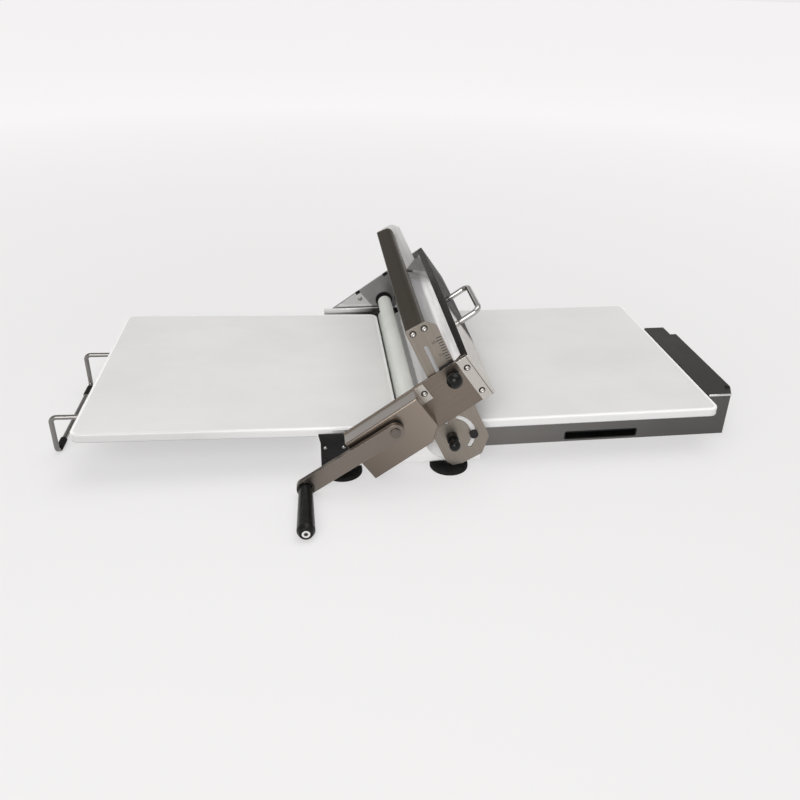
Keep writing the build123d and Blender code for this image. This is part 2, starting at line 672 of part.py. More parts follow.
# Hood: bright curved sheet from under the lip down to the upper roller
hood_top = Vector(COVER_A - LIP_W, COVER_TOP - COVER_T)
hood_tail = Vector(UPPER_A + ROLLER_R + HOOD_GAP, COVER_TOP - COVER_T - HOOD_FALL)
hood_out = (hood_top - hood_tail).normalized().rotate(Axis.Z, 90)
hood_mid = (hood_top + hood_tail) * 0.5 + hood_out * HOOD_SAG
hood_in = hood_out * -HOOD_T
sheet = make_face(
    [
        ThreePointArc(hood_tail, hood_mid, hood_top),
        Line(hood_top, hood_top + hood_in),
        ThreePointArc(hood_top + hood_in, hood_mid + hood_in, hood_tail + hood_in),
        Line(hood_tail + hood_in, hood_tail),
    ]
)
hood = prism(sheet, -HOOD_HALF, HOOD_HALF)
hood += block(hood_top.X, COVER_A - 2 * COVER_T, hood_top.Y - HOOD_T, hood_top.Y, -HOOD_HALF, HOOD_HALF)
save("hood", HEAD.location * hood)

# D-handle on the cover
handle_root = COVER_A + COVER_BOW - COVER_T
handle_out = COVER_A + HANDLE_REACH
handle_path = FilletPolyline(
    (handle_root, HANDLE_B, HANDLE_MID - HANDLE_HALF),
    (handle_out, HANDLE_B, HANDLE_MID - HANDLE_HALF),
    (handle_out, HANDLE_B, HANDLE_MID + HANDLE_HALF),
    (handle_root, HANDLE_B, HANDLE_MID + HANDLE_HALF),
    radius=HANDLE_BEND,
)
handle_start = Plane(handle_path @ 0, z_dir=handle_path % 0)
handle = sweep(handle_start * Circle(HANDLE_R), path=handle_path) - cover
save("d_handle", HEAD.location * handle)

# Upper roller, its journals and the gear on the near end
gear_low = PLATE_OUT + GEAR_BACK
upper_shaft = rod(UPPER_A, UPPER_B, SHAFT_R, -roller_half, roller_half)
upper_shaft += rod(UPPER_A, UPPER_B, JOURNAL_R, -PLATE_OUT - 2, gear_low + GEAR_W + 2)
save("upper_shaft", HEAD.location * upper_shaft)
save("upper_roller", HEAD.location * roller_sleeve(UPPER_A, UPPER_B))
gear = gear_face(
    GEAR_TEETH,
    gear_tip,
    MODULE * (GEAR_TEETH / 2 - 1.25),
    CRANK_DIRECTION + 180 / GEAR_TEETH,
)
gear = Pos(UPPER_A, UPPER_B) * (gear - Circle(JOURNAL_R))
save("roller_gear", HEAD.location * prism(gear, gear_low, gear_low + GEAR_W))

# Crank: shaft, pinion and flat arm
crank_front = CRANK_BACK + CRANK_T
pinion_low = gear_low - (PINION_W - GEAR_W) / 2
pinion = gear_face(
    PINION_TEETH,
    pinion_tip,
    MODULE * (PINION_TEETH / 2 - 1.25),
    CRANK_DIRECTION + 180,
)
pinion = Pos(crank_a, crank_b) * (pinion - Circle(JOURNAL_R))
save("crank_pinion", HEAD.location * prism(pinion, pinion_low, pinion_low + PINION_W))
shaft = rod(crank_a, crank_b, JOURNAL_R, PLATE_IN - BUSH_FLANGE_T, crank_front)
shaft += rod(crank_a, crank_b, CRANK_HUB_R, BOX_OUT + 2 + END_GAP, CRANK_BACK)
shaft += rod(crank_a, crank_b, CRANK_CAP_R, crank_front, crank_front + CRANK_CAP_H)
save("crank_shaft", HEAD.location * shaft)
arm_bar = Pos(CRANK_LEN / 2, 0) * SlotCenterToCenter(CRANK_LEN, CRANK_W)
arm_bar -= Circle(JOURNAL_R)
arm_bar -= Pos(CRANK_LEN, 0) * Circle(GRIP_PIN_R)
arm_bar = Pos(crank_a, crank_b) * Rot(0, 0, CRANK_TURN) * arm_bar
save("crank_arm", HEAD.location * prism(arm_bar, CRANK_BACK, crank_front))

# Grip on its pin, whose head sits in a pocket in the grip's end
grip_low = crank_front + END_GAP
grip_high = grip_low + GRIP_LEN
head_low = grip_high - GRIP_SINK
grip_pin = rod(pin_a, pin_b, GRIP_PIN_R, CRANK_BACK, head_low)
grip_pin += rod(pin_a, pin_b, GRIP_HEAD_R, head_low, head_low + GRIP_HEAD_H)
save("grip_pin", HEAD.location * grip_pin)
bore = GRIP_PIN_R + RUN_FIT
seat = GRIP_LEN - GRIP_SINK - END_GAP
grip_face = Plane.XZ * outline(
    (bore, 0),
    (GRIP_ROOT_R, 0, GRIP_ROOT_ROUND),
    (GRIP_END_R, GRIP_LEN - GRIP_NOSE, GRIP_NOSE_ROUND),
    (GRIP_TIP_R, GRIP_LEN, 1),
    (GRIP_HEAD_R + GRIP_HEAD_ROOM, GRIP_LEN),
    (GRIP_HEAD_R + GRIP_HEAD_ROOM, seat),
    (bore, seat),
)
grip = Pos(pin_a, pin_b, grip_low) * revolve(grip_face, Axis.Z)
save("crank_grip", HEAD.location * grip)

# Lift knob: screw through the near side plate, its tip just off the arm
lift_stem_top = LIFT_BALL_N - 0.75 * LIFT_BALL_R
lift_low = PLATE_OUT + END_GAP
lift_hub = rod(LIFT_A, LIFT_B, LIFT_SCREW_R, ARM_OUT + END_GAP, lift_low)
lift_hub += rod(LIFT_A, LIFT_B, LIFT_COLLAR_R, lift_low, lift_low + LIFT_COLLAR_H)
lift_hub += rod(LIFT_A, LIFT_B, KNOB_STEM_R, lift_low + LIFT_COLLAR_H, lift_stem_top)
save("lift_screw", HEAD.location * lift_hub)
lift_ball = Pos(LIFT_A, LIFT_B, LIFT_BALL_N) * Sphere(LIFT_BALL_R)
lift_ball -= rod(LIFT_A, LIFT_B, 2 * LIFT_BALL_R, LIFT_BALL_N - 2 * LIFT_BALL_R, lift_stem_top)
save("lift_ball", HEAD.location * lift_ball)

# Tilt knob: hub threaded on the near pivot stud
tilt_low = ARM_OUT + END_GAP
tilt_hub = rod(0, 0, TILT_HUB_R, tilt_low, tilt_low + TILT_HUB_H)
tilt_hub += rod(0, 0, KNOB_STEM_R, tilt_low + TILT_HUB_H, tilt_stem_top)
tilt_hub -= rod(0, 0, STUD_THREAD_R + RUN_FIT, tilt_low - 1, stud_reach + END_GAP)
save("tilt_hub", HEAD.location * tilt_hub)
tilt_ball = Pos(0, 0, TILT_BALL_N) * Sphere(TILT_BALL_R)
tilt_ball -= rod(0, 0, 2 * TILT_BALL_R, TILT_BALL_N - 2 * TILT_BALL_R, tilt_stem_top)
save("tilt_ball", HEAD.location * tilt_ball)
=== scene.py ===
import json
from math import cos, pi, radians, sin

import bmesh
import bpy
from mathutils import Matrix, Vector


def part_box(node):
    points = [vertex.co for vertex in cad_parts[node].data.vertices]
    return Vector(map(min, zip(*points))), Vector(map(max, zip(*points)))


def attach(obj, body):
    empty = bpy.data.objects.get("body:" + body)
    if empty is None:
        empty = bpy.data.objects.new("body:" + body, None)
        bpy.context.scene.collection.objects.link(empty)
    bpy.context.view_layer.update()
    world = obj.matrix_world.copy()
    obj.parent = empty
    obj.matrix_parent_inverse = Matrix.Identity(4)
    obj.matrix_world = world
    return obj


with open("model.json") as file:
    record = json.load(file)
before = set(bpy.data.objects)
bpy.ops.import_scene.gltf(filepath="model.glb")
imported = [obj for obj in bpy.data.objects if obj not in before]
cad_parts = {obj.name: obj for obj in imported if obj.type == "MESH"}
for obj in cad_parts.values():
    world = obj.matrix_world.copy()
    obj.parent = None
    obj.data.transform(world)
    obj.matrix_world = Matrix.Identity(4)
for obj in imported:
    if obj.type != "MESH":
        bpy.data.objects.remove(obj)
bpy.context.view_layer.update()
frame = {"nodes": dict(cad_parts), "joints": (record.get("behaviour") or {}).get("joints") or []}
nodes = frame["nodes"]


# Base: one channel folded from stainless sheet, with two upright cheeks and two rails for the boards.
# The sheet keeps the fine lengthwise lines of its mill brushing, and its cut edges are painted bright, a
# painted edge highlight.
# The far cheek's inner face is painted darker as painted shade of the head, along the gap behind the left
# board.
def new_finish(name, gloss, metal):
    """Empty finish with its shader, at the given roughness and metalness."""
    finish = bpy.data.materials.new(name)
    finish.use_nodes = True
    tree = finish.node_tree
    shader = tree.nodes["Principled BSDF"]
    shader.inputs["Roughness"].default_value = gloss
    shader.inputs["Metallic"].default_value = metal
    return finish, tree, shader


def grain(tree, size, lean=0.0, detail=4.0):
    """Cloudy pattern in object space, its cells stretched to the given size along leaning axes."""
    place = tree.nodes.new("ShaderNodeTexCoord")
    turn = tree.nodes.new("ShaderNodeMapping")
    turn.vector_type = "TEXTURE"
    turn.inputs["Rotation"].default_value = (0, -radians(lean), 0)
    turn.inputs["Scale"].default_value = size
    cloud = tree.nodes.new("ShaderNodeTexNoise")
    cloud.inputs["Scale"].default_value = 1.0
    cloud.inputs["Detail"].default_value = detail
    tree.links.new(place.outputs["Object"], turn.inputs["Vector"])
    tree.links.new(turn.outputs["Vector"], cloud.inputs["Vector"])
    return cloud.outputs["Fac"]


def spread(tree, value, low, high, start=0.3, end=0.7):
    """A pattern value stretched from start..end to low..high."""
    span = tree.nodes.new("ShaderNodeMapRange")
    span.inputs["From Min"].default_value = start
    span.inputs["From Max"].default_value = end
    span.inputs["To Min"].default_value = low
    span.inputs["To Max"].default_value = high
    tree.links.new(value, span.inputs["Value"])
    return span.outputs["Result"]


def tint(tree, share, first, second):
    """Colour between two tones, each a tone or the output of another tint."""
    mixer = tree.nodes.new("ShaderNodeMix")
    mixer.data_type = "RGBA"
    tree.links.new(share, mixer.inputs["Factor"])
    for socket, tone in ((mixer.inputs["A"], first), (mixer.inputs["B"], second)):
        if isinstance(tone, bpy.types.NodeSocket):
            tree.links.new(tone, socket)
        else:
            socket.default_value = (*tone, 1)
    return mixer.outputs["Result"]


def worn_edges(tree, radius):
    """Rounded-edge normal, and a value that is high along the piece's edges, for painted edge highlights
    or wear.
    """
    rounded = tree.nodes.new("ShaderNodeBevel")
    rounded.inputs["Radius"].default_value = radius
    rounded.samples = 6
    flat = tree.nodes.new("ShaderNodeNewGeometry")
    facing = tree.nodes.new("ShaderNodeVectorMath")
    facing.operation = "DOT_PRODUCT"
    tree.links.new(rounded.outputs["Normal"], facing.inputs[0])
    tree.links.new(flat.outputs["Normal"], facing.inputs[1])
    return rounded.outputs["Normal"], spread(tree, facing.outputs["Value"], 1, 0, start=0.72, end=0.985)


def relief(tree, height, depth, strength, normal=None):
    """Bump of the given depth in metres from a pattern value."""
    bump = tree.nodes.new("ShaderNodeBump")
    bump.inputs["Distance"].default_value = depth
    bump.inputs["Strength"].default_value = strength
    tree.links.new(height, bump.inputs["Height"])
    if normal is not None:
        tree.links.new(normal, bump.inputs["Normal"])
    return bump.outputs["Normal"]


def brushed_sheet(name, tone, lines, lean=0.0, gloss=0.3, edge=0.0006, lift=1.7):
    """Brushed stainless sheet: fine lines, soft smudges, and edges painted brighter by the given lift as
    a painted highlight.
    """
    finish, tree, shader = new_finish(name, gloss, metal=1.0)
    streak = grain(tree, lines, lean, detail=3.0)
    smudge = grain(tree, (0.05, 0.05, 0.05), lean, detail=5.0)
    dark = tuple(0.9 * c for c in tone)
    light = tuple(min(1.0, 1.07 * c) for c in tone)
    # Painted highlight: the edges get a brighter tone where the rounded-edge value is high.
    bright = tuple(min(1.0, lift * c + 0.04) for c in tone)
    normal, rim = worn_edges(tree, edge)
    colour = tint(tree, spread(tree, streak, 0, 1), dark, light)
    colour = tint(tree, spread(tree, smudge, 0, 0.35), colour, tone)
    tree.links.new(tint(tree, rim, colour, bright), shader.inputs["Base Color"])
    tree.links.new(spread(tree, smudge, gloss - 0.05, gloss + 0.09), shader.inputs["Roughness"])
    normal = relief(tree, streak, depth=0.00003, strength=0.25, normal=normal)
    tree.links.new(normal, shader.inputs["Normal"])
    return finish


def dress(finish, *names):
    """Gives CAD nodes a finish."""
    for name in names:
        nodes[name].data.materials.clear()
        nodes[name].data.materials.append(finish)


def axis_share(tree, source, axis, low, high):
    """Rises from 0 to 1 as a vector's part along an axis goes from low to high."""
    along = tree.nodes.new("ShaderNodeVectorMath")
    along.operation = "DOT_PRODUCT"
    along.inputs[1].default_value = axis
    tree.links.new(source, along.inputs[0])
    return spread(tree, along.outputs["Value"], 0, 1, low, high)


def place_share(tree, axis, low, high):
    """Rises from 0 to 1 between two places along an axis, in metres."""
    place = tree.nodes.new("ShaderNodeTexCoord")
    return axis_share(tree, place.outputs["Object"], axis, low, high)


def facing_share(tree, axis, low=0.9, high=0.95):
    """1 on faces that look along an axis, 0 on those that are turned away from it."""
    face = tree.nodes.new("ShaderNodeNewGeometry")
    return axis_share(tree, face.outputs["True Normal"], axis, low, high)


def colour_so_far(finish):
    """The output that colours a finish now."""
    return finish.node_tree.nodes["Principled BSDF"].inputs["Base Color"].links[0].from_socket


def paint_over(finish, share, tone):
    """Lays a tone over a finish's colour, as far as the share goes."""
    tree = finish.node_tree
    mixed = tint(tree, share, colour_so_far(finish), tone)
    tree.links.new(mixed, tree.nodes["Principled BSDF"].inputs["Base Color"])


along_dough = (1, 0, 0)
to_far_side = (0, 1, 0)
to_crank_side = (0, -1, 0)
downward = (0, 0, -1)
cheek_sheet = brushed_sheet("cheek_sheet", (0.97, 0.96, 0.955), (0.12, 0.12, 0.0009), gloss=0.46)
cheek_tree = cheek_sheet.node_tree
cheek_tone = colour_so_far(cheek_sheet)
# Painted shade on the far cheek's inner face, darkening towards the rollers above and below the board's
# top.
ledge_shade = place_share(cheek_tree, along_dough, -0.065, -0.02)
ledge_tone = tint(cheek_tree, ledge_shade, cheek_tone, (0.06, 0.058, 0.055))
gap_shade = place_share(cheek_tree, along_dough, -0.16, -0.03)
gap_tone = tint(cheek_tree, gap_shade, cheek_tone, (0.1, 0.097, 0.093))
gap_depth = place_share(cheek_tree, downward, -0.0675, -0.066)
painted_shade_tone = tint(cheek_tree, gap_depth, ledge_tone, gap_tone)
far_cheek = place_share(cheek_tree, to_far_side, 0.2, 0.21)
painted_shade_tone = tint(cheek_tree, far_cheek, cheek_tone, painted_shade_tone)
paint_over(cheek_sheet, facing_share(cheek_tree, to_crank_side), painted_shade_tone)
dress(cheek_sheet, "base_channel")
rail_sheet = brushed_sheet("rail_sheet", (0.3, 0.29, 0.28), (0.0012, 0.2, 0.0012))
dress(rail_sheet, "cross_rail_left", "cross_rail_right")


# Feet: four moulded rubber discs on short bosses, screwed up into the channel floor.
# The rubber is matt black with a fine moulded skin and a dusty grey bloom.
def black_rubber(name):
    """Matt black rubber with a fine skin."""
    finish, tree, shader = new_finish(name, gloss=0.78, metal=0.0)
    skin = grain(tree, (0.0011, 0.0011, 0.0011), detail=2.0)
    dust = grain(tree, (0.02, 0.02, 0.012), detail=5.0)
    bloom = spread(tree, dust, 0, 1, start=0.4, end=0.75)
    tone = tint(tree, bloom, (0.006, 0.006, 0.006), (0.018, 0.017, 0.016))
    shader.inputs["Specular IOR Level"].default_value = 0.2
    tree.links.new(tone, shader.inputs["Base Color"])
    tree.links.new(spread(tree, dust, 0.66, 0.86), shader.inputs["Roughness"])
    tree.links.new(relief(tree, skin, depth=0.00012, strength=0.4), shader.inputs["Normal"])
    return finish


foot_rubber = black_rubber("foot_rubber")
dress(foot_rubber, "foot_near_left", "foot_near_right", "foot_far_left", "foot_far_right")


# End brackets: flat steel plates over the left ends of the cheeks, held by three domed rivets each.
# Their black coat is a thin textured enamel, greyer along its edges.
def black_coat(name, gloss=0.42):
    """Black coated steel with a pebbled surface and greyer edges."""
    finish, tree, shader = new_finish(name, gloss, metal=0.0)
    pebble = grain(tree, (0.0016, 0.0016, 0.0016), detail=2.0)
    patch = grain(tree, (0.03, 0.03, 0.03))
    normal, rim = worn_edges(tree, radius=0.0005)
    tone = tint(tree, spread(tree, patch, 0, 1), (0.01, 0.01, 0.01), (0.022, 0.021, 0.021))
    shader.inputs["Specular IOR Level"].default_value = 0.25
    tree.links.new(tint(tree, rim, tone, (0.09, 0.086, 0.082)), shader.inputs["Base Color"])
    tree.links.new(spread(tree, patch, gloss - 0.06, gloss + 0.1), shader.inputs["Roughness"])
    normal = relief(tree, pebble, depth=0.00008, strength=0.3, normal=normal)
    tree.links.new(normal, shader.inputs["Normal"])
    return finish


pivot = Vector(next(joint["pos_m"] for joint in frame["joints"] if joint["name"] == "yoke_tilt"))


def outer_face(node):
    """How far a node reaches out to the crank side from the pivot's middle, in mm."""
    return 1000 * (pivot.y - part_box(node)[0].y)


def facing_crank(a, b, n, lean=0.0):
    """Place on a face that looks to the crank side: a, b from the pivot in a leaning plane, in mm."""
    t = radians(lean)
    axes = Matrix(((cos(t), -sin(t), 0, 0), (0, 0, -1, 0), (sin(t), cos(t), 0, 0), (0, 0, 0, 1)))
    return Matrix.Translation(pivot) @ axes @ Matrix.Translation((a / 1000, b / 1000, n / 1000))


def facing_out(a, b, n, lean=0.0):
    """The same on an outer face, turned round where n puts it on the far side."""
    return facing_crank(a, b, n, lean) @ Matrix.Rotation(0 if n > 0 else pi, 4, "Y")


def button_head(mesh, place, radius, height, socket=True):
    """Domed screw head built up in rings from its rim, with a hexagon socket or a plain rivet crown."""
    rim = bmesh.ops.create_circle(mesh, segments=24, radius=radius)["verts"]
    ring = list({e for v in rim for e in v.link_edges})
    made = list(rim)
    socket_floor = (0.38, 0.6)
    steps = [(1.0, 0.25), (0.93, 0.55), (0.78, 0.82), (0.6, 1.0)]
    steps += [(0.42, 1.02), socket_floor] if socket else [(0.35, 1.14), (0.12, 1.2)]
    size = 1.0
    level = 0.0
    for share, rise in steps:
        grown = bmesh.ops.extrude_edge_only(mesh, edges=ring)["geom"]
        verts = [g for g in grown if isinstance(g, bmesh.types.BMVert)]
        edges = [g for g in grown if isinstance(g, bmesh.types.BMEdge)]
        ring = [e for e in edges if all(v in verts for v in e.verts)]
        bmesh.ops.scale(mesh, vec=(share / size, share / size, 1), verts=verts)
        bmesh.ops.translate(mesh, vec=(0, 0, (rise - level) * height), verts=verts)
        # Each point of the socket floor moves onto the nearest of six flats.
        if (share, rise) == socket_floor:
            for v in verts:
                turn = (Vector((1, 0)).angle_signed(v.co.xy) % (pi / 3)) - pi / 6
                v.co.xy *= 0.9 / cos(turn)
        size = share
        level = rise
        made += verts
    bmesh.ops.contextual_create(mesh, geom=ring)
    bmesh.ops.transform(mesh, matrix=place, verts=made)


def add_piece(name, mesh, finish, body, smooth=False):
    """New object from a finished mesh, riding on a body."""
    bmesh.ops.recalc_face_normals(mesh, faces=mesh.faces)
    for face in mesh.faces:
        face.smooth = smooth
    data = bpy.data.meshes.new(name)
    mesh.to_mesh(data)
    mesh.free()
    data.materials.append(finish)
    piece = bpy.data.objects.new(name, data)
    bpy.context.scene.collection.objects.link(piece)
    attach(piece, body)
    return piece


bracket_coat = black_coat("bracket_coat")
dress(bracket_coat, "end_bracket_near", "end_bracket_far")
rivet_steel = brushed_sheet("rivet_steel", (0.5, 0.48, 0.46), (0.003, 0.003, 0.003), edge=0.0003)
bracket_face = outer_face("end_bracket_near")
outer_rivet, inner_rivet = -175.7, -150.5
upper_row, lower_row = -9.0, -28.9
for rivet_name, rivet_finish, rivet_spots in (
    ("upper", rivet_steel, ((outer_rivet, upper_row), (inner_rivet, upper_row))),
    ("lower", bracket_coat, ((outer_rivet, lower_row),)),
):
    rivets = bmesh.new()
    for rivet_a, rivet_b in rivet_spots:
        for rivet_n in (bracket_face, -bracket_face):
            rivet_spot = facing_out(rivet_a, rivet_b, rivet_n)
            button_head(rivets, rivet_spot, radius=0.0026, height=0.0015, socket=False)
    add_piece("bracket_rivets_" + rivet_name, rivets, rivet_finish, "base", smooth=True)


# Boards: two white plastic slabs with rounded corners, laid on the rails and on the tray deck.
# Their tops carry faint scraper marks along the dough path, and a grey haze that ends at a painted white
# rim, a painted highlight.
def white_plastic(name, tone, haze, marks, gloss):
    """Satin food-grade plastic with scraper marks, a faint worn haze and a painted highlight along its
    edges.
    """
    finish, tree, shader = new_finish(name, gloss, metal=0.0)
    scrape = grain(tree, marks, detail=3.0)
    cloud = grain(tree, (0.16, 0.12, 0.1))
    skin = grain(tree, (0.0018, 0.0018, 0.0018), detail=2.0)
    shader.inputs["Specular IOR Level"].default_value = 0.3
    normal, rim = worn_edges(tree, radius=0.002)
    colour = tint(tree, spread(tree, cloud, 0, 1, end=0.72), tone, haze)
    marked = spread(tree, scrape, 0, 0.3, start=0.62, end=0.78)
    colour = tint(tree, marked, colour, tuple(0.9 * c for c in haze))
    # Painted highlight: the rounded edges get a near-white tone.
    tree.links.new(tint(tree, rim, colour, (0.93, 0.93, 0.925)), shader.inputs["Base Color"])
    tree.links.new(spread(tree, cloud, gloss - 0.06, gloss + 0.1), shader.inputs["Roughness"])
    normal = relief(tree, skin, depth=0.00006, strength=0.25, normal=normal)
    normal = relief(tree, scrape, depth=0.00006, strength=0.2, normal=normal)
    tree.links.new(normal, shader.inputs["Normal"])
    return finish


def length_share(tree, vector, low, high, start, end):
    """A vector's length stretched from start..end to low..high."""
    measure = tree.nodes.new("ShaderNodeVectorMath")
    measure.operation = "LENGTH"
    tree.links.new(vector, measure.inputs[0])
    return spread(tree, measure.outputs["Value"], low, high, start, end)


def rim_share(tree, low, high, inset, start, end):
    """Rises from 0 to 1 towards a board's rounded outline, measured out from an inset rectangle."""
    reach = tree.nodes.new("ShaderNodeTexCoord").outputs["Object"]
    for rule, amount in (
        ("SUBTRACT", (low + high) / 2),
        ("ABSOLUTE", (0, 0, 0)),
        ("SUBTRACT", (high - low) / 2 - Vector((inset, inset, -1))),
        ("MAXIMUM", (0, 0, 0)),
    ):
        step = tree.nodes.new("ShaderNodeVectorMath")
        step.operation = rule
        step.inputs[1].default_value = amount
        tree.links.new(reach, step.inputs[0])
        reach = step.outputs["Vector"]
    return length_share(tree, reach, 0, 1, start, end)


board_white = (0.765, 0.765, 0.755)
board_haze = (0.7, 0.7, 0.695)
scraper_marks = (0.16, 0.0016, 0.16)
painted_rim_white = (0.94, 0.94, 0.935)
# Painted light: the left board's near edge is painted darker as painted shade, paler towards the rollers;
# the right board's gets the white highlight.
for board_name, near_painted_tone in (("left_board", (0.74, 0.74, 0.735)), ("right_board", painted_rim_white)):
    board_plastic = white_plastic(
        board_name + "_plastic", board_white, board_haze, scraper_marks, gloss=0.5
    )
    board_tree = board_plastic.node_tree
    board_low, board_high = (Vector(c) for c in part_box(board_name))
    # Painted highlight: a white rim inside the board's rounded outline.
    board_rim_highlight = rim_share(board_tree, board_low, board_high, inset=0.014, start=0.0085, end=0.0105)
    paint_over(board_plastic, board_rim_highlight, painted_rim_white)
    near_reach = -board_low.y
    board_near = place_share(board_tree, to_crank_side, near_reach - 0.0055, near_reach - 0.0035)
    near_painted_light = tint(board_tree, place_share(board_tree, along_dough, -0.3, -0.13), near_painted_tone, painted_rim_white)
    paint_over(board_plastic, board_near, near_painted_light)
    dress(board_plastic, board_name)

# Tray: a folded stand of stainless sheet with a raised end, and a hand slot lined by a black pocket.
# A bright rolled lip runs along the near top edge of the raised end, its pale tone a painted highlight on
# that edge, and a black stud closes its corner.
# The near wall is painted darker towards the raised end as painted shade, and the deck's top is painted
# darkest, a painted dark reflection.
upward = (0, 0, 1)
tray_sheet = brushed_sheet("tray_sheet", (0.22, 0.212, 0.203), (0.14, 0.14, 0.0008), gloss=0.4)
tray_tree = tray_sheet.node_tree
# Painted shade: the near wall darkens towards the raised end.
paint_over(tray_sheet, place_share(tray_tree, along_dough, 0.16, 0.5), (0.114, 0.11, 0.105))
# Painted dark reflection: the faces that look up get the darkest tone.
paint_over(tray_sheet, facing_share(tray_tree, upward), (0.062, 0.059, 0.053))
dress(tray_sheet, "right_tray")
# Painted highlight: the rolled lip's pale tone stands for the light caught along the edge.
lip_highlight_steel = brushed_sheet("lip_highlight_steel", (0.86, 0.85, 0.84), (0.05, 0.001, 0.001))
lip_radius = 0.0016
lip_length = 0.0365
lip_place = Matrix.Translation((0.4808, -0.0985, 0.0689)) @ Matrix.Rotation(pi / 2, 4, "Y")
lip = bmesh.new()
bmesh.ops.create_cone(
    lip,
    cap_ends=True,
    segments=20,
    radius1=lip_radius,
    radius2=lip_radius,
    depth=lip_length,
    matrix=lip_place,
)
cap_edges = [e for e in lip.edges if e.calc_face_angle(0) > 1]
bmesh.ops.bevel(lip, geom=cap_edges, offset=0.0006, segments=2, profile=0.5, affect="EDGES", material=-1)
add_piece("tray_lip", lip, lip_highlight_steel, "base", smooth=True)


def black_moulding(name, gloss):
    """Glossy black moulded plastic with a faint orange-peel skin."""
    finish, tree, shader = new_finish(name, gloss, metal=0.0)
    peel = grain(tree, (0.0024, 0.0024, 0.0024), detail=2.0)
    patch = grain(tree, (0.015, 0.015, 0.015))
    tone = tint(tree, spread(tree, patch, 0, 1), (0.004, 0.004, 0.004), (0.009, 0.0085, 0.008))
    shader.inputs["Specular IOR Level"].default_value = 0.22
    tree.links.new(tone, shader.inputs["Base Color"])
    tree.links.new(spread(tree, patch, gloss - 0.04, gloss + 0.07), shader.inputs["Roughness"])
    tree.links.new(relief(tree, peel, depth=0.00003, strength=0.15), shader.inputs["Normal"])
    return finish


pocket_plastic = black_moulding("pocket_plastic", gloss=0.45)
dress(pocket_plastic, "hand_pocket")
tray_stud = bmesh.new()
corner_spot = Matrix.Translation((0.5028, -0.0765, 0.0705))
button_head(tray_stud, corner_spot, radius=0.0038, height=0.002, socket=False)
add_piece("tray_stud", tray_stud, pocket_plastic, "base", smooth=True)

# Wire leg: one bent bright rod with rubber sleeves on its foot, whose arms slide in two steel tubes
# under the left board. The rod is drawn and polished, so it shows fine lines and long highlights.
leg_rod = brushed_sheet("leg_rod", (0.25, 0.24, 0.23), (0.03, 0.03, 0.03), gloss=0.2)
dress(leg_rod, "wire_leg")
tube_steel = brushed_sheet("tube_steel", (0.3, 0.29, 0.28), (0.1, 0.001, 0.001))
dress(tube_steel, "guide_tube_near", "guide_tube_far")
dress(foot_rubber, "leg_sleeve_near", "leg_sleeve_far")

# Rollers: plastic sleeves on steel shafts that turn in black bushes, the lower one in the cheeks and the
# upper one in the head. The sleeves are smooth and slightly green-grey, the shafts turned bright.
roller_pale = (0.74, 0.755, 0.715)
roller_haze = (0.66, 0.68, 0.64)
roller_marks = (0.0016, 0.06, 0.0016)
roller_plastic = white_plastic("roller_plastic", roller_pale, roller_haze, roller_marks, gloss=0.36)
dress(roller_plastic, "lower_roller", "upper_roller")
turned_steel = brushed_sheet("turned_steel", (0.34, 0.33, 0.32), (0.02, 0.0007, 0.02), gloss=0.25)
dress(turned_steel, "lower_shaft", "upper_shaft")
# Painted shade: the black of the upper bushes also stands in for the shade round the roller's far end.
bush_plastic = black_moulding("bush_plastic", gloss=0.5)
dress(bush_plastic, "lower_bush_near", "lower_bush_far", "upper_bush_near", "upper_bush_far")
dress(bush_plastic, "crank_bush_inner", "crank_bush_outer")

# Yoke: two slotted steel arms with quadrants, and a folded crossbar held by two screws at each end.
# The arms are brushed along their length, the crossbar along the rollers.
# The crossbar's top and its folds are painted dark, a painted dark reflection, and the far arm is painted
# paler than the near one, as painted light.
arm_lean = 25
arm_lines = (0.0009, 0.0009, 0.09)
arm_sheet = brushed_sheet("arm_sheet", (0.3, 0.268, 0.231), arm_lines, lean=arm_lean, gloss=0.45)
dress(arm_sheet, "arm_near")
# Painted light: the far arm is a paler, less metallic copy of the near arm's steel.
far_arm_lit_sheet = brushed_sheet("far_arm_lit_sheet", (0.88, 0.87, 0.86), arm_lines, lean=arm_lean, gloss=0.4)
far_arm_lit_sheet.node_tree.nodes["Principled BSDF"].inputs["Metallic"].default_value = 0.3
dress(far_arm_lit_sheet, "arm_far")
bar_lines = (0.0009, 0.14, 0.0009)
bar_sheet = brushed_sheet("bar_sheet", (0.26, 0.24, 0.212), bar_lines, lean=arm_lean, gloss=0.24)
bar_tree = bar_sheet.node_tree
bar_tree.nodes["Principled BSDF"].inputs["Specular Tint"].default_value = (0.42, 0.42, 0.42, 1)
up_the_arm = (-sin(radians(arm_lean)), 0, cos(radians(arm_lean)))
# Painted dark reflection: faces that look up the arm get a dark tone.
paint_over(bar_sheet, facing_share(bar_tree, up_the_arm, 0.35, 0.7), (0.136, 0.124, 0.106))
dress(bar_sheet, "crossbar")
screw_steel = brushed_sheet("screw_steel", (0.6, 0.57, 0.54), (0.004, 0.004, 0.004), edge=0.0003)
seal_black = black_moulding("seal_black", gloss=0.5)


def screw_row(name, body, spots, lean):
    """Button-head screws on black washers, each spot given as a, b and the distance of its face."""
    heads = bmesh.new()
    seals = bmesh.new()
    for a, b, n in spots:
        spot = facing_out(a, b, n, lean)
        button_head(seals, spot, radius=0.0046, height=0.0008, socket=False)
        on_washer = spot @ Matrix.Translation((0, 0, 0.0007))
        button_head(heads, on_washer, radius=0.0033, height=0.0022)
    add_piece(name + "_heads", heads, screw_steel, body, smooth=True)
    add_piece(name + "_washers", seals, seal_black, body, smooth=True)


arm_face = outer_face("arm_near")
yoke_spots = [(a, b, n) for a, b in ((14.5, 169), (30.8, 170)) for n in (arm_face, -arm_face)]
screw_row("yoke_screws", "yoke", yoke_spots, arm_lean)

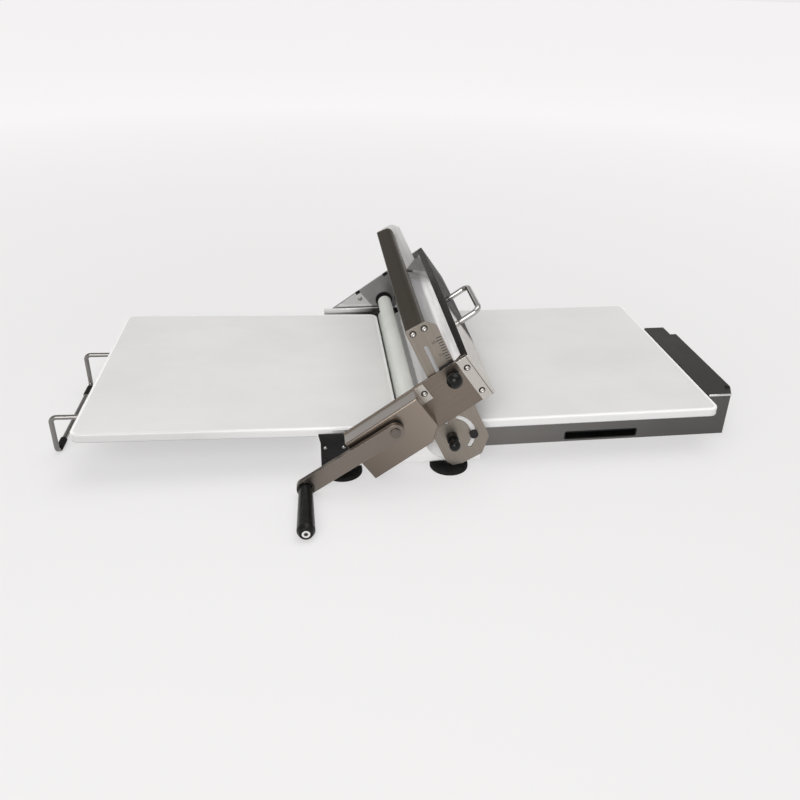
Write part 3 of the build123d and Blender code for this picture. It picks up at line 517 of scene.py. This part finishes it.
# Thickness scale: ticks and plain numerals engraved on the near arm, read at the side plate's top edge.
# The cuts are filled with dark paint, which is worn in places.
scale_paint, scale_tree, scale_shader = new_finish("scale_paint", gloss=0.6, metal=0.0)
wear = grain(scale_tree, (0.002, 0.002, 0.002), arm_lean, detail=3.0)
worn = tint(scale_tree, spread(scale_tree, wear, 0, 1), (0.012, 0.011, 0.01), (0.04, 0.036, 0.032))
scale_tree.links.new(worn, scale_shader.inputs["Base Color"])
scale_zero = 103.6
scale_pitch = 4.2
scale_face = arm_face + 0.04
ticks_end = 46
tick_width = 1.3
long_tick, short_tick = 8.5, 6.5
numerals_end = 36.6
scale = bmesh.new()
for step in range(2, 12):
    length = long_tick if step % 5 == 0 else short_tick
    tick = bmesh.ops.create_grid(scale, x_segments=1, y_segments=1, size=0.5)["verts"]
    bmesh.ops.scale(scale, vec=(length / 1000, tick_width / 1000, 1), verts=tick)
    tick_a = ticks_end - length / 2
    tick_spot = facing_crank(tick_a, scale_zero + scale_pitch * step, scale_face, arm_lean)
    bmesh.ops.transform(scale, matrix=tick_spot, verts=tick)
add_piece("scale_ticks", scale, scale_paint, "yoke")
for step in (5, 10):
    letters = bpy.data.curves.new("numeral", "FONT")
    letters.body = str(step)
    letters.size = 0.0062
    letters.align_x = "RIGHT"
    letters.align_y = "CENTER"
    holder = bpy.data.objects.new("numeral", letters)
    figure = bpy.data.meshes.new_from_object(holder)
    figure.transform(facing_crank(numerals_end, scale_zero + scale_pitch * step, scale_face, arm_lean))
    bpy.data.objects.remove(holder)
    figure.materials.append(scale_paint)
    mark = bpy.data.objects.new("scale_numeral_" + str(step), figure)
    bpy.context.scene.collection.objects.link(mark)
    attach(mark, "yoke")

# Pivot studs and guide bolts: turned steel studs that the yoke swings on, black bolts in its arc slots.
# Both are fixed in the cheeks, and a thin white plastic pad between cheek and quadrant takes the rubbing.
stud_lines = (0.004, 0.0006, 0.004)
stud_steel = brushed_sheet("stud_steel", (0.3, 0.28, 0.26), stud_lines, gloss=0.26, edge=0.0004)
dress(stud_steel, "pivot_stud_near", "pivot_stud_far")
pad_white = (0.9, 0.9, 0.89)
pad_haze = (0.84, 0.84, 0.83)
pad_plastic = white_plastic("pad_plastic", pad_white, pad_haze, (0.002, 0.002, 0.002), gloss=0.5)


def flat_ring(inner, outer, height, place):
    """Flat washer of the given radii and height."""
    mesh = bmesh.new()
    for radius in (inner, outer):
        bmesh.ops.create_circle(mesh, segments=64, radius=radius)
    bmesh.ops.bridge_loops(mesh, edges=mesh.edges[:])
    grown = bmesh.ops.extrude_face_region(mesh, geom=mesh.faces[:], use_keep_orig=True)["geom"]
    raised = [g for g in grown if isinstance(g, bmesh.types.BMVert)]
    bmesh.ops.translate(mesh, vec=(0, 0, height), verts=raised)
    bmesh.ops.transform(mesh, matrix=place, verts=mesh.verts[:])
    return mesh


pad_thick = 0.8
pad_gap = 0.05
pad_back = outer_face("base_channel") + pad_gap
for pad_n, pad_name in ((pad_back, "near"), (-pad_back - pad_thick, "far")):
    pad_spot = facing_crank(0, 0, pad_n)
    pad = flat_ring(inner=0.0066, outer=0.0385, height=pad_thick / 1000, place=pad_spot)
    add_piece("wear_pad_" + pad_name, pad, pad_plastic, "base")
bolt_black = black_coat("bolt_black", gloss=0.35)
dress(bolt_black, "guide_bolt_near", "guide_bolt_far")

# Side plates and gear box: two tilted steel plates that slide on the arms by guide pins, and a box folded
# from sheet on the near one, round the gears. All are brushed along the head.
# The box is painted paler towards its flange, on its top and most on the flange, with bright painted
# edges, all painted light.
head_lean = 35
head_lines = (0.09, 0.0009, 0.0009)
along_head = (cos(radians(head_lean)), 0, sin(radians(head_lean)))
up_from_head = (-sin(radians(head_lean)), 0, cos(radians(head_lean)))
head_sheet = brushed_sheet("head_sheet", (0.215, 0.18, 0.15), head_lines, lean=head_lean, gloss=0.4)
dress(head_sheet, "side_plate_near")
dress(head_sheet, "guide_pin_near_low", "guide_pin_near_high", "guide_pin_far_low", "guide_pin_far_high")
box_sheet = brushed_sheet(
    "box_sheet", (0.18, 0.151, 0.126), head_lines, lean=head_lean, gloss=0.32, edge=0.001, lift=3.2
)
box_tree = box_sheet.node_tree
box_flange_light = place_share(box_tree, along_head, 0.0774, 0.0778)
# Painted light: paler towards the flange, paler still on faces that look up, and brightest on the flange.
paint_over(box_sheet, place_share(box_tree, along_head, -0.03, 0.075), (0.3, 0.252, 0.21))
paint_over(box_sheet, facing_share(box_tree, up_from_head), (0.39, 0.365, 0.34))
paint_over(box_sheet, box_flange_light, (0.56, 0.53, 0.49))
dress(box_sheet, "gear_box")
# Painted light: the far plate is a paler, more neutral copy of the near plate's steel.
far_sheet = brushed_sheet("far_sheet", (0.31, 0.305, 0.305), head_lines, lean=head_lean, gloss=0.36)
dress(far_sheet, "side_plate_far")


# Cover: a bowed steel sheet between the plates, brushed along the rollers, its top lip and far part
# painted dark as painted reflection.
# Its end tab on the crank side meets it at a seam. Screws on black washers hold the tabs and the gear box
# to the plates.
def share_ramp(tree, share, stops):
    """Share that passes through the given values as another share goes from 0 to 1."""
    ramp = tree.nodes.new("ShaderNodeValToRGB")
    elements = ramp.color_ramp.elements
    elements.remove(elements[1])
    for at, value in stops:
        stop = elements[0] if at == 0 else elements.new(at)
        stop.color = (value, value, value, 1)
    tree.links.new(share, ramp.inputs["Fac"])
    return ramp.outputs["Color"]


def joint_share(tree, rule, first, second):
    """Two shares multiplied, or the greater of the two."""
    both = tree.nodes.new("ShaderNodeMath")
    both.operation = rule
    tree.links.new(first, both.inputs[0])
    tree.links.new(second, both.inputs[1])
    return both.outputs["Value"]


cover_sheet = brushed_sheet(
    "cover_sheet", (0.58, 0.55, 0.51), (0.0009, 0.14, 0.0009), lean=head_lean, gloss=0.22, edge=0.0009
)
cover_tree = cover_sheet.node_tree
seam_bands = ((0, 0), (0.2, 0), (0.3, 1), (0.6, 1), (0.7, 0))
seam_line = share_ramp(cover_tree, place_share(cover_tree, along_head, 0.1588, 0.161), seam_bands)
seam_side = place_share(cover_tree, to_crank_side, 0.1602, 0.1606)
paint_over(cover_sheet, joint_share(cover_tree, "MULTIPLY", seam_line, seam_side), (0.1, 0.092, 0.085))
# Painted dark reflection: the cover darkens towards its far side, and the lip that looks up is painted
# near black.
paint_over(cover_sheet, place_share(cover_tree, to_far_side, 0.0, 0.16), (0.16, 0.15, 0.13))
cover_lip = facing_share(cover_tree, up_from_head)
paint_over(cover_sheet, cover_lip, (0.02, 0.018, 0.016))
# Painted reflection: the specular tint is turned down over the far part, and kept high on the lip.
cover_painted_gloom = place_share(cover_tree, to_far_side, -0.02, 0.005)
cover_reflection_dimming = tint(cover_tree, cover_painted_gloom, (1, 1, 1), (0.03, 0.03, 0.03))
cover_reflection_dimming = tint(cover_tree, cover_lip, cover_reflection_dimming, (0.86, 0.86, 0.86))
cover_tree.links.new(cover_reflection_dimming, cover_tree.nodes["Principled BSDF"].inputs["Specular Tint"])
dress(cover_sheet, "right_cover")
tab_face = outer_face("right_cover")
cover_spots = [(a, b, n) for a, b in ((75.3, 82.3), (73.7, 40.8)) for n in (tab_face, -tab_face)]
box_spot = (8.2, 84.4, tab_face)
screw_row("head_screws", "head", cover_spots + [box_spot], head_lean)

# Hood and handle: a curved sheet of polished stainless steel over the upper roller, and a bright D-handle
# of round bar on the cover. The hood has soft smears, and painted reflection: dark bands across its bow
# and a dark far end.
hood_lines = (0.001, 0.16, 0.001)
hood_polish = brushed_sheet("hood_polish", (0.92, 0.91, 0.9), hood_lines, lean=head_lean, gloss=0.14)
hood_tree = hood_polish.node_tree
hood_cloud = grain(hood_tree, (0.012, 0.12, 0.012), head_lean, detail=3.0)
hood_smears = spread(hood_tree, hood_cloud, 0, 0.7, start=0.45)
paint_over(hood_polish, hood_smears, (0.5, 0.49, 0.49))
# Painted reflection: dark bands across the bow, and a darker far end.
hood_reflection_bands = ((0, 0.37), (0.33, 0.5), (0.52, 0.92), (0.64, 0.72), (0.76, 0.6), (0.81, 0))
hood_painted_reflection = share_ramp(hood_tree, place_share(hood_tree, along_head, 0.0771, 0.1531), hood_reflection_bands)
paint_over(hood_polish, hood_painted_reflection, (0.1, 0.098, 0.097))
paint_over(hood_polish, place_share(hood_tree, to_far_side, 0.11, 0.2), (0.17, 0.167, 0.17))
dress(hood_polish, "hood")
handle_lines = (0.02, 0.02, 0.02)
handle_chrome = brushed_sheet(
    "handle_chrome", (0.5, 0.49, 0.48), handle_lines, lean=head_lean, gloss=0.12
)
dress(handle_chrome, "d_handle")

# Far gusset and keepers: a light steel triangle held by a stud inside the far side plate, two black
# plastic keepers clipped over the plate's top edge, and a black wiper on the near plate's top edge that
# keeps the scale clean. The wiper's black also stands in for the shadow along that edge, as painted
# shade.
gusset_lines = (0.03, 0.0009, 0.0009)
gusset_sheet = brushed_sheet("gusset_sheet", (0.66, 0.65, 0.65), gusset_lines, lean=head_lean, gloss=0.35)
plate_thick = 3
plate_inner_face = outer_face("side_plate_near") - plate_thick
gusset_thick = 0.8
gusset = bmesh.new()
gusset_outline = ((-113.6, 97.4), (-54.0, 98.0), (-51.5, 58.5))
corners = [facing_crank(a, b, -plate_inner_face, head_lean).translation for a, b in gusset_outline]
gusset.faces.new([gusset.verts.new(corner) for corner in corners])
grown = bmesh.ops.extrude_face_region(gusset, geom=gusset.faces[:], use_keep_orig=True)["geom"]
front = [g for g in grown if isinstance(g, bmesh.types.BMVert)]
bmesh.ops.translate(gusset, vec=(0, -gusset_thick / 1000, 0), verts=front)
add_piece("far_gusset", gusset, gusset_sheet, "head")
stud = bmesh.new()
stud_spot = facing_crank(-61.4, 84.8, gusset_thick - plate_inner_face, head_lean)
button_head(stud, stud_spot, radius=0.0042, height=0.0016, socket=False)
add_piece("gusset_stud", stud, stud_steel, "head", smooth=True)
keeper_plastic = black_moulding("keeper_plastic", gloss=0.4)
for name, a, b, n, width, height, depth in (
    ("keeper_left", -58, 96.6, -219.5, 9, 5, 5),
    ("keeper_right", 3.6, 96.6, -219.5, 9, 5, 5),
    # Painted shade: the wiper's black line also stands for the shadow along the plate's top edge.
    ("scale_wiper", 54.3, 100.3, 219.2, 22, 2.4, 3.6),
):
    keeper = bmesh.new()
    bmesh.ops.create_cube(keeper, size=0.001)
    bmesh.ops.scale(keeper, vec=(width, height, depth), verts=keeper.verts)
    bmesh.ops.bevel(
        keeper, geom=keeper.edges[:], offset=0.0007, segments=3, profile=0.5, affect="EDGES", material=-1
    )
    bmesh.ops.transform(keeper, matrix=facing_crank(a, b, n, head_lean), verts=keeper.verts)
    add_piece(name, keeper, keeper_plastic, "head", smooth=True)

# Roller seals: flat rings of black plastic round the upper roller's ends.
# They are pressed on the inner faces of the side plates and keep flour out of the bushes, and their black
# also stands in for the shade round the roller's ends, as painted shade.
roller_a, roller_b = -26.9, 56.1
seal_thick = 1
for seal_n, seal_name in ((plate_inner_face - seal_thick, "near"), (-plate_inner_face, "far")):
    seal_spot = facing_crank(roller_a, roller_b, seal_n, head_lean)
    seal = flat_ring(inner=0.01205, outer=0.0155, height=seal_thick / 1000, place=seal_spot)
    add_piece("roller_seal_" + seal_name, seal, seal_black, "head")

# Upper roller drive: the gear on the roller's near journal and the pinion on the crank shaft.
# Both are cut from steel, with a plain machined finish, and run inside the gear box.
gear_steel = brushed_sheet("gear_steel", (0.3, 0.29, 0.27), (0.006, 0.006, 0.006), lean=head_lean)
dress(gear_steel, "roller_gear", "crank_pinion")

# Crank: a flat bar with round ends on the pinion shaft, and a turned grip that spins on its pin.
# The bar is brushed along its length, the grip is black moulded plastic with a dark collar at its root.
# The shaft is painted dark behind the bar's front as painted shade, and the pin's bright head has a dark
# centre painted as the shade of a countersink.
crank_lean = 33.58
crank_bar = brushed_sheet("crank_bar", (0.22, 0.19, 0.165), (0.09, 0.0009, 0.0009), lean=crank_lean)
dress(crank_bar, "crank_arm")
hub_lines = (0.004, 0.004, 0.004)
hub_steel = brushed_sheet("hub_steel", (0.17, 0.145, 0.13), hub_lines, gloss=0.35, edge=0.0003)
# Painted shade: the shaft goes near black behind the bar's front face.
hub_painted_shade = place_share(hub_steel.node_tree, to_far_side, -0.197, -0.1968)
paint_over(hub_steel, hub_painted_shade, (0.012, 0.011, 0.01))
dress(hub_steel, "crank_shaft")
pin_spot = facing_crank(-204.1, -43.93, 258)
pin_steel = brushed_sheet("pin_steel", (0.85, 0.84, 0.83), (0.003, 0.003, 0.003), edge=0.0003)
pin_tree = pin_steel.node_tree
pin_place = pin_tree.nodes.new("ShaderNodeTexCoord")
pin_out = pin_tree.nodes.new("ShaderNodeVectorMath")
pin_out.operation = "MULTIPLY_ADD"
pin_out.inputs[1].default_value = (1, 0, 1)
pin_out.inputs[2].default_value = (-pin_spot.translation.x, 0, -pin_spot.translation.z)
pin_tree.links.new(pin_place.outputs["Object"], pin_out.inputs[0])
# Painted shade: a dark disc at the middle of the pin's head, for its countersink.
pin_sink_shade = length_share(pin_tree, pin_out.outputs["Vector"], 1, 0, start=0.0024, end=0.0029)
paint_over(pin_steel, pin_sink_shade, (0.05, 0.048, 0.046))
dress(pin_steel, "grip_pin")
grip_plastic = black_moulding("grip_plastic", gloss=0.26)
dress(grip_plastic, "crank_grip")
collar_steel = brushed_sheet("collar_steel", (0.062, 0.058, 0.054), (0.004, 0.004, 0.004), edge=0.0004)
collar = flat_ring(inner=0.0097, outer=0.0121, height=0.0024, place=pin_spot)
add_piece("grip_collar", collar, collar_steel, "crank")

# Ball knobs: glossy black moulded balls on black stems.
# The upper one is screwed through the near plate and clamps the head on the arm. The lower one is screwed
# on the near pivot stud and clamps the tilt.
knob_plastic = black_moulding("knob_plastic", gloss=0.16)
dress(knob_plastic, "lift_ball", "tilt_ball")
stem_black = black_moulding("stem_black", gloss=0.3)
dress(stem_black, "lift_screw", "tilt_hub")

# Floor: a wide pale disc that takes the object's shadow.
# It glows a little to the camera and in reflections only, and lights nothing.
floor_finish = bpy.data.materials.new("floor_finish")
floor_finish.use_nodes = True
floor_tree = floor_finish.node_tree
floor_tree.nodes.remove(floor_tree.nodes["Principled BSDF"])
floor_paint = floor_tree.nodes.new("ShaderNodeBsdfDiffuse")
floor_paint.inputs["Color"].default_value = (0.36, 0.36, 0.36, 1)
floor_glow = floor_tree.nodes.new("ShaderNodeEmission")
floor_glow.inputs["Color"].default_value = (1.0, 0.985, 0.99, 1)
floor_place = floor_tree.nodes.new("ShaderNodeTexCoord")
floor_level = length_share(floor_tree, floor_place.outputs["Object"], 0.5, 0.74, start=0.7, end=3.2)
floor_rays = floor_tree.nodes.new("ShaderNodeLightPath")
floor_seen = floor_rays.outputs["Is Camera Ray"]
for ray in ("Is Glossy Ray", "Is Transmission Ray"):
    floor_seen = joint_share(floor_tree, "MAXIMUM", floor_seen, floor_rays.outputs[ray])
floor_strength = joint_share(floor_tree, "MULTIPLY", floor_level, floor_seen)
floor_tree.links.new(floor_strength, floor_glow.inputs["Strength"])
floor_pale = floor_tree.nodes.new("ShaderNodeAddShader")
floor_tree.links.new(floor_paint.outputs[0], floor_pale.inputs[0])
floor_tree.links.new(floor_glow.outputs[0], floor_pale.inputs[1])
floor_tree.links.new(floor_pale.outputs[0], floor_tree.nodes["Material Output"].inputs["Surface"])
ground = bmesh.new()
bmesh.ops.create_circle(ground, cap_ends=True, segments=96, radius=40.0)
ground_data = bpy.data.meshes.new("floor")
ground.to_mesh(ground_data)
ground.free()
ground_data.materials.append(floor_finish)
floor = bpy.data.objects.new("floor", ground_data)
bpy.context.scene.collection.objects.link(floor)

# Studio light: pale walls that get darker with height, and two wide soft lamps.
# One lamp stands to the left of the camera, the other hangs above the object.
world = bpy.data.worlds.new("studio")
bpy.context.scene.world = world
world.use_nodes = True
sky = world.node_tree
outlook = sky.nodes.new("ShaderNodeTexCoord")
height = sky.nodes.new("ShaderNodeSeparateXYZ")
wall = sky.nodes.new("ShaderNodeValToRGB")
wall_low, wall_high = wall.color_ramp.elements
wall_low.position = 0.18
wall_low.color = (0.84, 0.825, 0.83, 1)
wall_high.position = 0.42
wall_high.color = (0.42, 0.41, 0.4, 1)
sky.links.new(outlook.outputs["Generated"], height.inputs["Vector"])
sky.links.new(height.outputs["Z"], wall.inputs["Fac"])
sky.links.new(wall.outputs["Color"], sky.nodes["Background"].inputs["Color"])
sky.nodes["Background"].inputs["Strength"].default_value = 1.0


def soft_lamp(name, place, aim, width, power):
    """Square soft lamp that looks at a point."""
    lamp = bpy.data.lights.new(name, "AREA")
    lamp.size = width
    lamp.energy = power
    holder = bpy.data.objects.new(name, lamp)
    holder.location = place
    holder.rotation_euler = (Vector(aim) - Vector(place)).to_track_quat("-Z", "Y").to_euler()
    bpy.context.scene.collection.objects.link(holder)


soft_lamp("front_lamp", place=(-0.9, -2.4, 1.7), aim=(0, 0, 0.08), width=1.8, power=46)
soft_lamp("top_lamp", place=(0.4, 0.3, 2.6), aim=(0, 0, 0.05), width=2.2, power=27)

# Camera: stands in front on the crank side, a little to the left, and looks down at the object.
# Its place, turn and shift come from a fit to points of the boards, feet and plates.
eye = bpy.data.cameras.new("camera")
eye.lens = 34.30
eye.sensor_width = 36
eye.shift_x = -0.0222
eye.shift_y = -0.0458
camera = bpy.data.objects.new("camera", eye)
stand = Matrix.Translation((-0.12672, -1.04279, 0.62789))
yaw, pitch, roll = 0.1461, 0.4695, 0.0272
ahead = Vector((sin(yaw) * cos(pitch), cos(yaw) * cos(pitch), -sin(pitch)))
across = Vector((cos(yaw), -sin(yaw), 0))
above = across.cross(ahead)
right = across * cos(roll) + above * sin(roll)
top = above * cos(roll) - across * sin(roll)
camera.matrix_world = stand @ Matrix((right, top, -ahead)).transposed().to_4x4()
bpy.context.scene.collection.objects.link(camera)
bpy.context.scene.camera = camera
bpy.context.scene.view_settings.view_transform = "Standard"
